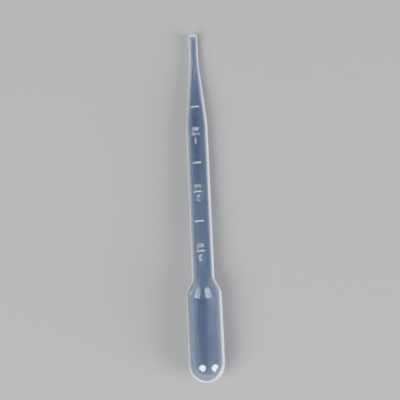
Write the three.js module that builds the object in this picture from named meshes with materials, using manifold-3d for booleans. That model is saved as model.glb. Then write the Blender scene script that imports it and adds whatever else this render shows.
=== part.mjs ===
// A graduated dropper pipette, blow-moulded in one piece from soft clear-milky polyethylene.
// A straight nose widens through a long cone into the graduated stem, and a short shoulder opens
// into the squeeze bulb. The mould closes on a flat parting plane, which leaves a fine ridge down
// both sides, and pinches the tube shut at the bulb's end, which leaves a welded rib over the dome.
//
// Millimetres. While it is being made, the pipette's axis is Y: the mouth is at y = 0, facing +Y,
// and the bulb reaches down to y = -overallLength. It is then rolled, tipped and set on z = 0,
// the way it comes to rest on a flat table.
import * as THREE from 'three';
import { mergeVertices } from 'three/addons/utils/BufferGeometryUtils.js';
import Module from 'manifold-3d';

const wasm = await Module();
wasm.setup();

// ---- Driving dimensions ----

// Stations along the axis, each measured from the mouth.
const overallLength = 155;
const flareLength = 1.8;
const noseEnd = 12.7;
const coneEnd = 42.7;
const shoulderStart = 112.4;
const shoulderLength = 5.6;

// Outer radii.
const rimRadius = 1.8;
const noseRadius = 1.6;
const stemRadius = 4.3;
const bulbRadius = 6.95;

// Wall thicknesses: the tube keeps one wall, and the bulb is blown thinner.
const tubeWall = 0.82;
const bulbWall = 0.5;

// Rounding of the corners where the nose, cone, stem, shoulder and bulb meet.
const tubeBlend = 20;
const shoulderBlend = 2;

// Raised graduations: bars of one length, half a millilitre apart, on both mould halves.
const graduationCount = 6;
const firstGraduation = 35.6;
const millilitresPerGraduation = 0.5;
const graduationLength = 3.6;
const graduationWidth = 0.5;
const graduationHeight = 0.18;

// The parting ridge, and the rib that the pinched end leaves around the dome.
const partingWidth = 0.3;
const partingHeight = 0.12;
const pinchReach = 15.5;
const pinchWidth = 0.6;
const pinchHeight = 0.28;
const pinchBeadRadius = 0.5;

// Fineness of the facets.
const turns = 32;
const domeSteps = 9;
const blendSteps = 3;

// How it lies: the graduated side is turned this far off the top.
const restRoll = THREE.MathUtils.degToRad(-10);

// Extra length that lets one solid pass right through another.
const overshoot = 1;

// ---- Sizes worked out from them ----

const shoulderEnd = shoulderStart + shoulderLength;
const domeCentre = overallLength - bulbRadius;
const boreRadius = stemRadius - tubeWall;
const cubicMillimetresPerMillilitre = 1000;
const graduationPitch =
  (millilitresPerGraduation * cubicMillimetresPerMillilitre) / (Math.PI * boreRadius ** 2);
const restTilt = Math.atan2(bulbRadius - stemRadius, shoulderEnd - coneEnd);
const facetStart = Math.PI / turns - restRoll;

// ---- Outlines ----

// A corner of an outline, at a station from the mouth and a radius from the axis.
function corner(station, radius, blend = 0) {
  return { at: new THREE.Vector2(radius, -station), blend };
}

// Rounds each blended corner with an arc that is tangent to both of its edges.
function roundedOutline(corners) {
  return corners.flatMap(({ at, blend }, index) => {
    if (blend === 0) {
      return [at];
    }
    const back = corners[index - 1].at.clone().sub(at).normalize();
    const ahead = corners[index + 1].at.clone().sub(at).normalize();
    const halfAngle = Math.acos(back.dot(ahead)) / 2;
    const centre = back.clone().add(ahead).setLength(blend / Math.sin(halfAngle)).add(at);
    const first = back.multiplyScalar(blend / Math.tan(halfAngle)).add(at).sub(centre);
    const last = ahead.multiplyScalar(blend / Math.tan(halfAngle)).add(at).sub(centre);
    const sweep = Math.atan2(first.cross(last), first.dot(last));
    return Array.from({ length: blendSteps + 1 }, (_, step) =>
      first.clone().rotateAround(new THREE.Vector2(), (sweep * step) / blendSteps).add(centre));
  });
}

// The dome that closes the bulb, from its pole on the axis to the bulb's full radius.
function domeOutline(radius) {
  return Array.from({ length: domeSteps }, (_, step) => {
    const angle = (step / domeSteps) * (Math.PI / 2);
    return new THREE.Vector2(radius * Math.sin(angle), -domeCentre - radius * Math.cos(angle));
  });
}

// The outside of the tube from the bulb to the mouth, standing proud of the skin by a height.
function outerOutline(proud) {
  return [
    ...domeOutline(bulbRadius + proud),
    ...roundedOutline([
      corner(domeCentre, bulbRadius + proud),
      corner(shoulderEnd, bulbRadius + proud, shoulderBlend),
      corner(shoulderStart, stemRadius + proud, shoulderBlend),
      corner(coneEnd, stemRadius + proud, tubeBlend),
      corner(noseEnd, noseRadius + proud, tubeBlend),
      corner(flareLength, noseRadius + proud),
      corner(0, rimRadius + proud),
    ]),
  ];
}

// The inside of the tube, run on past the mouth so that it opens it.
function boreOutline() {
  return [
    ...domeOutline(bulbRadius - bulbWall),
    ...roundedOutline([
      corner(domeCentre, bulbRadius - bulbWall),
      corner(shoulderEnd, bulbRadius - bulbWall, shoulderBlend),
      corner(shoulderStart, boreRadius, shoulderBlend),
      corner(coneEnd, boreRadius, tubeBlend),
      corner(noseEnd, noseRadius - tubeWall, tubeBlend),
      corner(-overshoot, noseRadius - tubeWall),
    ]),
  ];
}

// ---- Solids ----

// Turns a closed three.js geometry into a solid that can be joined and cut.
function solidOf(geometry) {
  const bare = geometry.index ? geometry.toNonIndexed() : geometry.clone();
  bare.deleteAttribute('normal');
  bare.deleteAttribute('uv');
  const merged = mergeVertices(bare, 1e-5);
  const index = merged.index.array;
  const triangles = [];
  for (let at = 0; at < index.length; at += 3) {
    const [a, b, c] = index.slice(at, at + 3);
    if (a !== b && b !== c && c !== a) {
      triangles.push(a, b, c);
    }
  }
  return new wasm.Manifold(new wasm.Mesh({
    numProp: 3,
    vertProperties: new Float32Array(merged.attributes.position.array),
    triVerts: new Uint32Array(triangles),
  }));
}

// A solid turned about the pipette's axis, closed by a flat disc at the mouth end. Its facets
// start where one of them comes to lie flat on the table.
function turnedSolid(outline) {
  const mouthCentre = new THREE.Vector2(0, outline.at(-1).y);
  return solidOf(new THREE.LatheGeometry([...outline, mouthCentre], turns, facetStart));
}

// A flat plate in the parting plane with the outline's full silhouette.
function partingPlate(outline, thickness) {
  const otherSide = outline.slice(1).reverse().map(({ x, y }) => new THREE.Vector2(-x, y));
  const plate = new THREE.ExtrudeGeometry(new THREE.Shape([...outline, ...otherSide]), {
    depth: thickness,
    bevelEnabled: false,
  });
  return solidOf(plate.translate(0, 0, -thickness / 2));
}

// One graduation: a bar right through the tube, so that it marks both mould halves.
function graduationBar(station) {
  const bar = new THREE.BoxGeometry(graduationLength, graduationWidth, 3 * bulbRadius);
  return solidOf(bar.translate(0, -station, 0));
}

// The graduations, trimmed to stand proud of the skin by their height.
function graduations() {
  const bars = Array.from({ length: graduationCount }, (_, count) =>
    graduationBar(firstGraduation + count * graduationPitch));
  return wasm.Manifold.union(bars).intersect(turnedSolid(outerOutline(graduationHeight)));
}

// The rib over the dome, which ends in a small bead on each side of the bulb.
function pinchRib() {
  const ribStart = overallLength - pinchReach;
  const reach = pinchReach + overshoot;
  const zone = new THREE.BoxGeometry(3 * bulbRadius, reach, 2 * pinchWidth);
  const rib = partingPlate(outerOutline(pinchHeight), pinchWidth)
    .intersect(solidOf(zone.translate(0, -ribStart - reach / 2, 0)));
  const beads = [-1, 1].map((side) => {
    const bead = new THREE.SphereGeometry(pinchBeadRadius, 10, 8);
    return solidOf(bead.translate(side * bulbRadius, -ribStart, 0));
  });
  return rib.add(beads[0]).add(beads[1]);
}

// The whole moulding: skin, ridges and graduations, hollowed from mouth to dome.
function moulding() {
  const solid = turnedSolid(outerOutline(0))
    .add(partingPlate(outerOutline(partingHeight), partingWidth))
    .add(pinchRib())
    .add(graduations())
    .subtract(turnedSolid(boreOutline()));
  const { vertProperties, triVerts } = solid.getMesh();
  const geometry = new THREE.BufferGeometry();
  geometry.setAttribute('position', new THREE.BufferAttribute(vertProperties, 3));
  geometry.setIndex(new THREE.BufferAttribute(triVerts, 1));
  geometry.computeVertexNormals();
  return geometry;
}

// ---- The part ----

const milkyPolyethylene = new THREE.MeshStandardMaterial({
  color: 0xa9b8cf,
  roughness: 0.28,
  metalness: 0,
  transparent: true,
  opacity: 0.55,
  side: THREE.DoubleSide,
});

const pipette = new THREE.Mesh(moulding(), milkyPolyethylene);
pipette.name = 'pipette';
pipette.rotation.set(-restTilt, restRoll, 0, 'XYZ');

// Set down on z = 0, with the middle of its footprint over the origin.
const group = new THREE.Group();
group.add(pipette);
const footprint = new THREE.Box3().setFromObject(group, true);
const middle = footprint.getCenter(new THREE.Vector3());
pipette.position.set(-middle.x, -middle.y, -footprint.min.z);

export default group;
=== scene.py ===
import math

import bpy
from mathutils import Matrix, Vector


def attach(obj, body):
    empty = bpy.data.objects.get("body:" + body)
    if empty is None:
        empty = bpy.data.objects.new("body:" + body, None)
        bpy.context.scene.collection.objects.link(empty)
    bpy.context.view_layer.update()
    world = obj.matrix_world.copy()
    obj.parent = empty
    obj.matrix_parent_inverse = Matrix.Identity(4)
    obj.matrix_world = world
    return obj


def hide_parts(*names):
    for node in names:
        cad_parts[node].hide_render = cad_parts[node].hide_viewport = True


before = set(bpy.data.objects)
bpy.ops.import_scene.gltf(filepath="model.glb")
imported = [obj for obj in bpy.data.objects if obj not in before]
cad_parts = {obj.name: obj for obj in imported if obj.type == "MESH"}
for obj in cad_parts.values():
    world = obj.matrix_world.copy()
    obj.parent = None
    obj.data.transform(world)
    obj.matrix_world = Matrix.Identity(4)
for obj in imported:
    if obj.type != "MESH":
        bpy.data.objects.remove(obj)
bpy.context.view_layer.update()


# ---- The blown tube ----
# One tube of soft, milky low-density polyethylene: a straight nose with a slightly flared mouth, a
# long cone, the stem, a short shoulder and the squeeze bulb with its round end. It is drawn ring by
# ring, standing on its mouth with the bulb up, as it is held in use.
MM = 0.001
SIDES = 192
OVERALL_LENGTH = 155 * MM
FLARE_LENGTH = 1.8 * MM
NOSE_END = 12.7 * MM
CONE_END = 42.7 * MM
SHOULDER_START = 112.4 * MM
SHOULDER_END = 118.0 * MM
RIM_RADIUS = 1.8 * MM
NOSE_RADIUS = 1.6 * MM
STEM_RADIUS = 4.3 * MM
BULB_RADIUS = 6.95 * MM
LIP_BLEND = 0.18 * MM
FLARE_BLEND = 2 * MM
TUBE_BLEND = 20 * MM
SHOULDER_BLEND = 3 * MM
DOME_CENTRE = OVERALL_LENGTH - BULB_RADIUS
RING_SPACING = 1.5 * MM
BLEND_STEPS = 6
DOME_STEPS = 24
MERGE_DISTANCE = 0.002 * MM


def rounded_corner(before, corner, after, blend):
    """Points of the arc that rounds a corner of the outline, tangent to both of its edges."""
    back, ahead = (before - corner).normalized(), (after - corner).normalized()
    half = back.angle(ahead) / 2
    start, end = corner + back * blend / math.tan(half), corner + ahead * blend / math.tan(half)
    centre = corner + (back + ahead).normalized() * blend / math.sin(half)
    sweep = (end - centre).angle_signed(start - centre)
    turns = [Matrix.Rotation(sweep * step / BLEND_STEPS, 2) for step in range(BLEND_STEPS + 1)]
    return [centre + turn @ (start - centre) for turn in turns]


def outline():
    """Stations from the mouth and radii of the rings, from the lip to the dome's last ring."""
    corners = [
        (Vector((0, RIM_RADIUS)), LIP_BLEND),
        (Vector((FLARE_LENGTH, NOSE_RADIUS)), FLARE_BLEND),
        (Vector((NOSE_END, NOSE_RADIUS)), TUBE_BLEND),
        (Vector((CONE_END, STEM_RADIUS)), TUBE_BLEND),
        (Vector((SHOULDER_START, STEM_RADIUS)), SHOULDER_BLEND),
        (Vector((SHOULDER_END, BULB_RADIUS)), SHOULDER_BLEND),
    ]
    bulb_end = Vector((DOME_CENTRE, BULB_RADIUS))
    nexts = [corner for corner, _ in corners[1:]] + [bulb_end]
    points = [Vector((0, RIM_RADIUS - 2 * LIP_BLEND))]
    for (corner, blend), after in zip(corners, nexts):
        before = points[-1]
        arc = rounded_corner(before, corner, after, blend)
        steps = max(1, math.ceil((arc[0] - before).length / RING_SPACING))
        points += [before.lerp(arc[0], step / steps) for step in range(1, steps)]
        points += arc
    before = points[-1]
    steps = math.ceil((bulb_end - before).length / RING_SPACING)
    points += [before.lerp(bulb_end, step / steps) for step in range(1, steps + 1)]
    for step in range(1, DOME_STEPS):
        angle = step / DOME_STEPS * math.pi / 2
        reach = Vector((math.sin(angle), math.cos(angle))) * BULB_RADIUS
        points.append(Vector((DOME_CENTRE, 0)) + reach)
    return points


rings = outline()
bpy.ops.object.select_all(action="DESELECT")
bpy.ops.mesh.primitive_circle_add(vertices=SIDES, radius=rings[0].y, fill_type="NOTHING")
pipette = bpy.context.object
pipette.name = pipette.data.name = "moulded_pipette"
bpy.ops.object.mode_set(mode="EDIT")
bpy.ops.mesh.select_all(action="SELECT")
for lower, upper in zip(rings, rings[1:]):
    growth = upper.y / lower.y
    bpy.ops.mesh.extrude_region_move(TRANSFORM_OT_translate={"value": (0, 0, upper.x - lower.x)})
    bpy.ops.transform.resize(value=(growth, growth, 1), center_override=(0, 0, upper.x))
bpy.ops.mesh.extrude_region_move(
    TRANSFORM_OT_translate={"value": (0, 0, OVERALL_LENGTH - rings[-1].x)})
bpy.ops.mesh.merge(type="CENTER")
bpy.ops.mesh.select_all(action="SELECT")
bpy.ops.mesh.remove_doubles(threshold=MERGE_DISTANCE)
bpy.ops.mesh.normals_make_consistent(inside=False)
bpy.ops.object.mode_set(mode="OBJECT")


# ---- The parting ridge ----
# The two halves of the mould meet on a flat plane through the axis, and leave a fine ridge of flash
# down both sides of the tube, from the mouth to the bulb's round end.
PARTING_HEIGHT = 0.12 * MM
ON_PLANE = 0.001 * MM

bpy.ops.object.mode_set(mode="EDIT")
bpy.ops.mesh.select_all(action="DESELECT")
bpy.ops.object.mode_set(mode="OBJECT")
for vertex in pipette.data.vertices:
    on_plane = abs(vertex.co.y) < ON_PLANE
    vertex.select = on_plane and FLARE_LENGTH / 2 < vertex.co.z < DOME_CENTRE
bpy.ops.object.mode_set(mode="EDIT")
bpy.ops.transform.shrink_fatten(value=PARTING_HEIGHT)
bpy.ops.object.mode_set(mode="OBJECT")


# ---- The wall ----
# Air blown in at the mouth presses the hot tube against the mould. The wall stays even along the
# nose, cone and stem, and is blown thinner from the shoulder on, so that the bulb can be squeezed.
TUBE_WALL = 0.82 * MM
BULB_WALL = 0.5 * MM

skin = bpy.data.materials.new("milky_skin")
bore = bpy.data.materials.new("milky_bore")
pipette.data.materials.append(skin)
pipette.data.materials.append(bore)
thickness = pipette.vertex_groups.new(name="wall")
for vertex in pipette.data.vertices:
    blown = (vertex.co.z - SHOULDER_START) / (SHOULDER_END - SHOULDER_START)
    thickness.add([vertex.index], 1 - min(max(blown, 0), 1), "REPLACE")
wall = pipette.modifiers.new("wall", "SOLIDIFY")
wall.thickness = TUBE_WALL
wall.offset = -1
wall.vertex_group = thickness.name
wall.thickness_vertex_group = BULB_WALL / TUBE_WALL
wall.use_even_offset = True
wall.material_offset = 1
bpy.ops.object.modifier_apply(modifier="wall")


# ---- The pinched end ----
# The mould pinches the hot tube shut at the bulb's end, which leaves a welded rib right over the
# dome, in the parting plane. It ends in a small bead on each side of the bulb.
PINCH_START = OVERALL_LENGTH - 15.5 * MM
PINCH_HEIGHT = 0.28 * MM
PINCH_RADIUS = 0.3 * MM
PINCH_OUT = BULB_RADIUS + PINCH_HEIGHT - PINCH_RADIUS
PINCH_SIDES = 12
BEAD_RADIUS = 0.4 * MM
BEAD_PROUD = 0.05 * MM
BEAD_OUT = BULB_RADIUS + PINCH_HEIGHT + BEAD_PROUD - BEAD_RADIUS
BEAD_SEGMENTS = 24
BEAD_RINGS = 14
weld_finish = bpy.data.materials.new("milky_weld")

bpy.ops.object.select_all(action="DESELECT")
bpy.ops.mesh.primitive_circle_add(
    vertices=PINCH_SIDES, radius=PINCH_RADIUS, fill_type="NGON",
    location=(PINCH_OUT, 0, PINCH_START))
rib = bpy.context.object
bpy.ops.object.mode_set(mode="EDIT")
bpy.ops.mesh.select_all(action="SELECT")
bpy.ops.mesh.extrude_region_move(
    TRANSFORM_OT_translate={"value": (0, 0, DOME_CENTRE - PINCH_START)})
bpy.ops.mesh.spin(
    steps=2 * DOME_STEPS, angle=math.pi, center=(0, 0, DOME_CENTRE), axis=(0, 1, 0))
bpy.ops.mesh.extrude_region_move(
    TRANSFORM_OT_translate={"value": (0, 0, PINCH_START - DOME_CENTRE)})
bpy.ops.mesh.select_all(action="SELECT")
bpy.ops.mesh.remove_doubles(threshold=MERGE_DISTANCE)
bpy.ops.mesh.normals_make_consistent(inside=False)
bpy.ops.object.mode_set(mode="OBJECT")
rib.data.materials.append(weld_finish)
raised = [rib]
for side in (-1, 1):
    bpy.ops.object.select_all(action="DESELECT")
    bpy.ops.mesh.primitive_uv_sphere_add(
        segments=BEAD_SEGMENTS, ring_count=BEAD_RINGS, radius=BEAD_RADIUS,
        location=(side * BEAD_OUT, 0, PINCH_START))
    bpy.context.object.data.materials.append(weld_finish)
    raised.append(bpy.context.object)


# ---- The graduations and their numerals ----
# Both halves of the mould are engraved, so the same marks stand proud on both sides of the tube: a
# bar each half millilitre, and at each full one its numeral above the bar and its unit below.
MARK_HEIGHT = 0.18 * MM
MARK_ROOT = 0.3 * MM
MARK_DRAFT = 0.07 * MM
MARK_CUT = 0.3 * MM
MARK_MIDDLE = (MARK_ROOT - MARK_HEIGHT) / 2
BAR_LENGTH = 3.6 * MM
BAR_WIDTH = 0.5 * MM
FIRST_BAR = 35.6 * MM
HALF_MILLILITRE = 500 * MM ** 3
BAR_PITCH = HALF_MILLILITRE / (math.pi * (STEM_RADIUS - TUBE_WALL) ** 2)
BAR_COUNT = 6
NUMERAL_HEIGHT = 2.6 * MM
NUMERAL_RISE = 2.9 * MM
UNIT_HEIGHT = 2.0 * MM
UNIT_DROP = 2.2 * MM
LETTER_CURVE_STEPS = 4
marks_finish = bpy.data.materials.new("milky_marks")


def skin_radius(station):
    """The outer radius of the cone and stem at a station."""
    along = min(max((station - NOSE_END) / (CONE_END - NOSE_END), 0), 1)
    return NOSE_RADIUS + (STEM_RADIUS - NOSE_RADIUS) * along


def wrap_round_tube(mark, station, half):
    """Bends a flat mark, which faces -Y, round the tube at a station, and turns it to its half."""
    radius = skin_radius(station)
    cuts = math.floor(mark.dimensions.x / 2 / MARK_CUT)
    bpy.ops.object.mode_set(mode="EDIT")
    for cut in range(-cuts, cuts + 1):
        bpy.ops.mesh.select_all(action="SELECT")
        bpy.ops.mesh.bisect(plane_co=(cut * MARK_CUT, 0, 0), plane_no=(1, 0, 0))
    bpy.ops.object.mode_set(mode="OBJECT")
    bend = mark.modifiers.new("wrap", "SIMPLE_DEFORM")
    bend.deform_method = "BEND"
    bend.deform_axis = "Z"
    bend.angle = mark.dimensions.x / radius
    bpy.ops.object.modifier_apply(modifier="wrap")
    slope = (skin_radius(station + MM) - skin_radius(station - MM)) / (2 * MM)
    mark.rotation_euler.x = math.atan(slope)
    mark.location = (0, -radius, station)
    bpy.ops.object.transform_apply(location=True, rotation=True, scale=True)
    mark.rotation_euler.z = half
    bpy.ops.object.transform_apply(location=True, rotation=True, scale=True)
    mark.data.materials.clear()
    mark.data.materials.append(marks_finish)
    raised.append(mark)


def add_bar(station, half):
    """A bar with drafted sides, proud of the tube by the mark height and rooted in its wall."""
    bpy.ops.object.select_all(action="DESELECT")
    bpy.ops.mesh.primitive_cube_add(size=1, location=(0, MARK_MIDDLE, 0))
    bar = bpy.context.object
    bar.scale = (BAR_LENGTH, MARK_HEIGHT + MARK_ROOT, BAR_WIDTH)
    bpy.ops.object.transform_apply(location=True, rotation=True, scale=True)
    bpy.ops.object.mode_set(mode="EDIT")
    bpy.ops.mesh.select_all(action="SELECT")
    bpy.ops.mesh.bevel(offset=MARK_DRAFT, segments=2)
    bpy.ops.object.mode_set(mode="OBJECT")
    wrap_round_tube(bar, station, half)


def add_letters(letters, height, station, half):
    """Letters with drafted sides, upright with the bulb up, rooted in the wall as the bars are."""
    bpy.ops.object.select_all(action="DESELECT")
    bpy.ops.object.text_add()
    mark = bpy.context.object
    mark.data.body = letters
    mark.data.align_x = "CENTER"
    mark.data.align_y = "CENTER"
    mark.data.resolution_u = LETTER_CURVE_STEPS
    bpy.context.view_layer.update()
    mark.data.size = height / mark.dimensions.y
    mark.data.bevel_depth = MARK_DRAFT
    mark.data.bevel_resolution = 1
    mark.data.offset = -MARK_DRAFT / 2
    mark.data.extrude = (MARK_HEIGHT + MARK_ROOT) / 2 - MARK_DRAFT
    bpy.ops.object.convert(target="MESH")
    mark = bpy.context.object
    mark.rotation_euler.x = math.pi / 2
    mark.location.y = MARK_MIDDLE
    bpy.ops.object.transform_apply(location=True, rotation=True, scale=True)
    bpy.ops.object.mode_set(mode="EDIT")
    bpy.ops.mesh.select_all(action="SELECT")
    bpy.ops.mesh.remove_doubles(threshold=MERGE_DISTANCE)
    bpy.ops.mesh.normals_make_consistent(inside=False)
    bpy.ops.object.mode_set(mode="OBJECT")
    wrap_round_tube(mark, station, half)


for half in (0, math.pi):
    for count in range(BAR_COUNT):
        station = FIRST_BAR + count * BAR_PITCH
        add_bar(station, half)
        if count % 2 == 1:
            add_letters(str((count + 1) // 2), NUMERAL_HEIGHT, station + NUMERAL_RISE, half)
            add_letters("ml", UNIT_HEIGHT, station - UNIT_DROP, half)

bpy.ops.object.select_all(action="DESELECT")
for piece in raised:
    piece.select_set(True)
bpy.context.view_layer.objects.active = rib
bpy.ops.object.join()
bpy.context.view_layer.objects.active = pipette
weld = pipette.modifiers.new("marks", "BOOLEAN")
weld.operation = "UNION"
weld.solver = "MANIFOLD"
weld.object = rib
weld.material_mode = "TRANSFER"
bpy.ops.object.modifier_apply(modifier="marks")
bpy.data.objects.remove(rib)


# ---- How it lies ----
# Laid on a table it comes to rest on the stem's lower corner and the bulb's shoulder, so the axis
# tips by a couple of degrees, with the graduated side turned a little off the top.
ROLL = math.radians(-10)
TILT = math.atan2(BULB_RADIUS - STEM_RADIUS, SHOULDER_END - CONE_END)
SMOOTH_ANGLE = math.radians(32)
LAID = (
    Matrix.Rotation(-TILT, 3, "X")
    @ Matrix.Rotation(ROLL, 3, "Y")
    @ Matrix.Rotation(math.pi / 2, 3, "X"))

bpy.ops.object.select_all(action="DESELECT")
pipette.select_set(True)
pipette.rotation_euler = LAID.to_euler()
bpy.ops.object.transform_apply(location=True, rotation=True, scale=True)
corners = [Vector(corner) for corner in pipette.bound_box]
low = Vector([min(corner[axis] for corner in corners) for axis in range(3)])
high = Vector([max(corner[axis] for corner in corners) for axis in range(3)])
mouth = Vector((-(low.x + high.x) / 2, -(low.y + high.y) / 2, -low.z))
pipette.location = mouth
bpy.ops.object.transform_apply(location=True, rotation=True, scale=True)
bpy.ops.object.shade_smooth_by_angle(angle=SMOOTH_ANGLE)


# ---- Milky polyethylene ----
# Unpigmented polyethylene is clear with a blue-white haze. The skin copies the polished mould, has
# a soft bloom at grazing angles, and is white at the cut lip. Along each parting ridge the skin is
# whitened in a band far wider than the flash: the stress-whitened flash itself, and around it a
# painted highlight that brightens the tube's side edges. The bore is glossy but a little uneven, as
# it was blown, and the raised marks are hazy in patches.
PLASTIC_IOR = 1.5
ROUGHNESS_SPREAD = 0.08
STREAKS = {"stretch": 12, "scale": 900, "detail": 3}
MOTTLE = {"stretch": 1.6, "scale": 420, "detail": 4}


def tube_coordinates(nodes, links, stretch):
    """Object coordinates turned to the tube: X to a parting ridge, Z stretched, from the mouth."""
    place = nodes.new("ShaderNodeTexCoord")
    turned = nodes.new("ShaderNodeMapping")
    turned.vector_type = "TEXTURE"
    turned.inputs["Location"].default_value = mouth
    turned.inputs["Rotation"].default_value = LAID.to_euler()
    turned.inputs["Scale"].default_value = (1, 1, stretch)
    links.new(place.outputs["Object"], turned.inputs["Vector"])
    return turned.outputs["Vector"]


def add_noise(nodes, links, stretch, scale, detail):
    """Fractal noise with features of 1 / scale metres, drawn out along the tube."""
    noise = nodes.new("ShaderNodeTexNoise")
    noise.inputs["Scale"].default_value = scale
    noise.inputs["Detail"].default_value = detail
    links.new(tube_coordinates(nodes, links, stretch), noise.inputs["Vector"])
    return noise.outputs["Fac"]


def add_range(nodes, links, value, low, high, to_low, to_high):
    """Maps a value between two limits on to two others."""
    spread = nodes.new("ShaderNodeMapRange")
    spread.inputs["From Min"].default_value = low
    spread.inputs["From Max"].default_value = high
    spread.inputs["To Min"].default_value = to_low
    spread.inputs["To Max"].default_value = to_high
    links.new(value, spread.inputs["Value"])
    return spread.outputs["Result"]


def add_tint(nodes, links, value, thin, thick):
    """A colour between two tints, by a noise value."""
    ramp = nodes.new("ShaderNodeValToRGB")
    for stop, position, tint in zip(ramp.color_ramp.elements, (0.35, 0.65), (thin, thick)):
        stop.position = position
        stop.color = (*tint, 1)
    links.new(value, ramp.inputs["Fac"])
    return ramp.outputs["Color"]


def add_mix(nodes, links, factor, first, second):
    """A colour mixed with another, which is either a tint or a socket."""
    mix = nodes.new("ShaderNodeMix")
    mix.data_type = "RGBA"
    links.new(factor, mix.inputs["Factor"])
    links.new(first, mix.inputs["A"])
    if isinstance(second, tuple):
        mix.inputs["B"].default_value = (*second, 1)
    else:
        links.new(second, mix.inputs["B"])
    return mix.outputs["Result"]


def add_station(nodes, links):
    """The distance from the mouth along the tube."""
    parts = nodes.new("ShaderNodeSeparateXYZ")
    links.new(tube_coordinates(nodes, links, 1), parts.inputs["Vector"])
    return parts.outputs["Z"]


def add_nearness_to_ridge(nodes, links):
    """One on the parting ridges, nought on the middle of each mould half, all along the tube."""
    across = nodes.new("ShaderNodeVectorMath")
    across.operation = "MULTIPLY"
    across.inputs[1].default_value = (1, 1, 0)
    links.new(tube_coordinates(nodes, links, 1), across.inputs[0])
    outwards = nodes.new("ShaderNodeVectorMath")
    outwards.operation = "NORMALIZE"
    links.new(across.outputs["Vector"], outwards.inputs[0])
    parts = nodes.new("ShaderNodeSeparateXYZ")
    links.new(outwards.outputs["Vector"], parts.inputs["Vector"])
    nearness = nodes.new("ShaderNodeMath")
    nearness.operation = "ABSOLUTE"
    links.new(parts.outputs["X"], nearness.inputs[0])
    return nearness.outputs["Value"]


def finish_plastic(material, thin, thick, haze, roughness, ripple):
    """Sets up one surface of the moulding: two tints, haze, least roughness and ripple depth."""
    material.use_nodes = True
    nodes, links = material.node_tree.nodes, material.node_tree.links
    shader = nodes["Principled BSDF"]
    shader.inputs["IOR"].default_value = PLASTIC_IOR
    shader.inputs["Transmission Weight"].default_value = 1 - haze
    streaks = add_noise(nodes, links, **STREAKS)
    mottle = add_noise(nodes, links, **MOTTLE)
    tint = add_tint(nodes, links, streaks, thin, thick)
    links.new(tint, shader.inputs["Base Color"])
    unevenness = add_range(
        nodes, links, mottle, 0.3, 0.7, roughness, roughness + ROUGHNESS_SPREAD)
    links.new(unevenness, shader.inputs["Roughness"])
    bump = nodes.new("ShaderNodeBump")
    bump.inputs["Strength"].default_value = 1
    bump.inputs["Distance"].default_value = ripple
    links.new(mottle, bump.inputs["Height"])
    links.new(bump.outputs["Normal"], shader.inputs["Normal"])
    return nodes, links, shader, tint


SKIN_HAZE = 0.010
# Whiter, hazier skin at the lip and in a band about 26 degrees either side of each parting ridge.
# The ridges lie on the tube's side edges, so only the middle of the band is flash; the rest is a
# painted highlight on the edges.
WHITE_HAZE_AND_PAINTED_EDGE_LIGHT = 0.30
WHITE_TINT = (0.82, 0.87, 1.0)
RIDGE_AND_PAINTED_EDGE_REACH = math.cos(math.radians(25.84))
LIP_REACH = (0.2 * MM, 0.7 * MM)
nodes, links, shader, clear = finish_plastic(
    skin, thin=(0.59, 0.69, 0.88), thick=(0.52, 0.62, 0.83), haze=SKIN_HAZE, roughness=0.035,
    ripple=0.005 * MM)
shader.inputs["Sheen Weight"].default_value = 1
shader.inputs["Sheen Roughness"].default_value = 0.22
shader.inputs["Sheen Tint"].default_value = (0.82, 0.87, 1, 1)
# Mask of the whitened skin: the cut lip, and the band round each ridge, which is partly
# stress-whitened flash and partly a painted edge highlight.
at_ridge_and_painted_edge = add_range(nodes, links, add_nearness_to_ridge(nodes, links), RIDGE_AND_PAINTED_EDGE_REACH, 1, 0, 1)
at_lip = add_range(nodes, links, add_station(nodes, links), *LIP_REACH, 1, 0)
white = nodes.new("ShaderNodeMath")
white.operation = "MAXIMUM"
links.new(at_ridge_and_painted_edge, white.inputs[0])
links.new(at_lip, white.inputs[1])
whiteness = white.outputs["Value"]
links.new(add_mix(nodes, links, whiteness, clear, WHITE_TINT), shader.inputs["Base Color"])
links.new(
    add_range(nodes, links, whiteness, 0, 1, 1 - SKIN_HAZE, 1 - WHITE_HAZE_AND_PAINTED_EDGE_LIGHT),
    shader.inputs["Transmission Weight"])

# The bulb's bore is lighter and greyer than the stem's: its wall is blown thinner, and the lift is
# also painted light that brightens the shade of the bulb's own shadow seen through it.
BULB_TINTS = ((0.59, 0.60, 0.67), (0.52, 0.545, 0.62))
BULB_SHARE = 0.85
BULB_CLOUDS = {"stretch": 2.5, "scale": 260, "detail": 3}
NOSE_TINT = (0.72, 0.69, 0.66)
NOSE_FADE = 12 * MM
nodes, links, shader, deep = finish_plastic(
    bore, thin=(0.345, 0.37, 0.44), thick=(0.25, 0.27, 0.335), haze=0.008, roughness=0.03,
    ripple=0.02 * MM)
shader.inputs["Specular IOR Level"].default_value = 1
shader.inputs["Coat Weight"].default_value = 1
shader.inputs["Coat Roughness"].default_value = 0.03
shader.inputs["Coat IOR"].default_value = 1.62
station = add_station(nodes, links)
to_nose = add_range(nodes, links, station, NOSE_END, NOSE_END + NOSE_FADE, 1, 0)
to_bulb = add_range(nodes, links, station, SHOULDER_START, SHOULDER_END, 0, BULB_SHARE)
clouds = add_noise(nodes, links, **BULB_CLOUDS)
tube_tint = add_mix(nodes, links, to_nose, deep, NOSE_TINT)
# The lighter bulb tint: thinner wall, and painted light over the shade under the bulb.
bulb_tint = add_tint(nodes, links, clouds, *BULB_TINTS)
links.new(add_mix(nodes, links, to_bulb, tube_tint, bulb_tint), shader.inputs["Base Color"])

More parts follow.
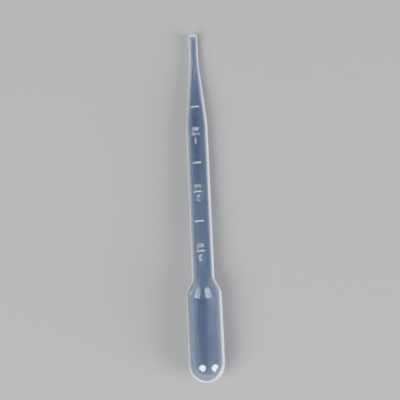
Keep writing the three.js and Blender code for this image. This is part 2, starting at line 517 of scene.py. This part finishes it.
MARK_PATCHES = {"stretch": 1, "scale": 700, "detail": 2}
CLEAR_PATCH = 0.975
for finish, haze in ((marks_finish, 0.14), (weld_finish, 0.16)):
    nodes, links, shader, _ = finish_plastic(
        finish, thin=(0.84, 0.92, 1.0), thick=(0.76, 0.85, 0.97), haze=haze, roughness=0.14,
        ripple=0.006 * MM)
    shader.inputs["Sheen Weight"].default_value = 1
    shader.inputs["Sheen Roughness"].default_value = 0.3
    patches = add_noise(nodes, links, **MARK_PATCHES)
    links.new(
        add_range(nodes, links, patches, 0.4, 0.56, CLEAR_PATCH, 1 - haze),
        shader.inputs["Transmission Weight"])

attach(pipette, "root")
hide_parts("pipette")


# ---- The studio ----
# A wide, pale, matt floor under a soft blue-white sky, with a square softbox on each side of the
# bulb's end. The camera looks down steeply on the graduated side, with the mouth at the top.
FLOOR_SIZE = 6
FLOOR_PAINT = (0.0650, 0.0675, 0.0700)
FLOOR_ROUGHNESS = 0.9
SKY = (0.40, 0.61, 1)
SKY_STRENGTH = 0.55
LAMP_DISTANCE = 2.7
LAMP_SIZE = 1.6
LAMP_POWER = 650
LAMP_WHITE = (1, 0.955, 0.935)

bpy.ops.object.select_all(action="DESELECT")
bpy.ops.mesh.primitive_plane_add(size=FLOOR_SIZE)
floor = bpy.context.object
floor.name = "floor"
paint = bpy.data.materials.new("floor_paint")
paint.use_nodes = True
paint.node_tree.nodes["Principled BSDF"].inputs["Base Color"].default_value = (*FLOOR_PAINT, 1)
paint.node_tree.nodes["Principled BSDF"].inputs["Roughness"].default_value = FLOOR_ROUGHNESS
floor.data.materials.append(paint)

world = bpy.data.worlds.new("studio")
bpy.context.scene.world = world
world.use_nodes = True
world.node_tree.nodes["Background"].inputs["Color"].default_value = (*SKY, 1)
world.node_tree.nodes["Background"].inputs["Strength"].default_value = SKY_STRENGTH


def add_softbox(name, direction):
    """A square lamp, upright, that faces the pipette's middle from a direction."""
    bpy.ops.object.light_add(type="AREA")
    lamp = bpy.context.object
    lamp.name = name
    lamp.location = direction.normalized() * LAMP_DISTANCE
    lamp.rotation_mode = "QUATERNION"
    lamp.rotation_quaternion = direction.to_track_quat("Z", "Y")
    lamp.data.shape = "SQUARE"
    lamp.data.size = LAMP_SIZE
    lamp.data.energy = LAMP_POWER
    lamp.data.color = LAMP_WHITE


add_softbox("left_softbox", Vector((-0.50, -0.56, 0.66)))
add_softbox("right_softbox", Vector((0.77, -0.50, 0.44)))

AZIMUTH = math.radians(-2.3)
ELEVATION = math.radians(68)
CAMERA_DISTANCE = 0.65
FIELD = math.radians(14.4)
NEAREST = 0.01
back = Vector((
    math.sin(AZIMUTH) * math.cos(ELEVATION),
    -math.cos(AZIMUTH) * math.cos(ELEVATION),
    math.sin(ELEVATION)))
bpy.ops.object.camera_add()
camera = bpy.context.object
camera.location = Vector((0, 0, BULB_RADIUS)) + back * CAMERA_DISTANCE
camera.rotation_mode = "QUATERNION"
camera.rotation_quaternion = back.to_track_quat("Z", "Y")
camera.data.angle = FIELD
camera.data.clip_start = NEAREST
bpy.context.scene.camera = camera
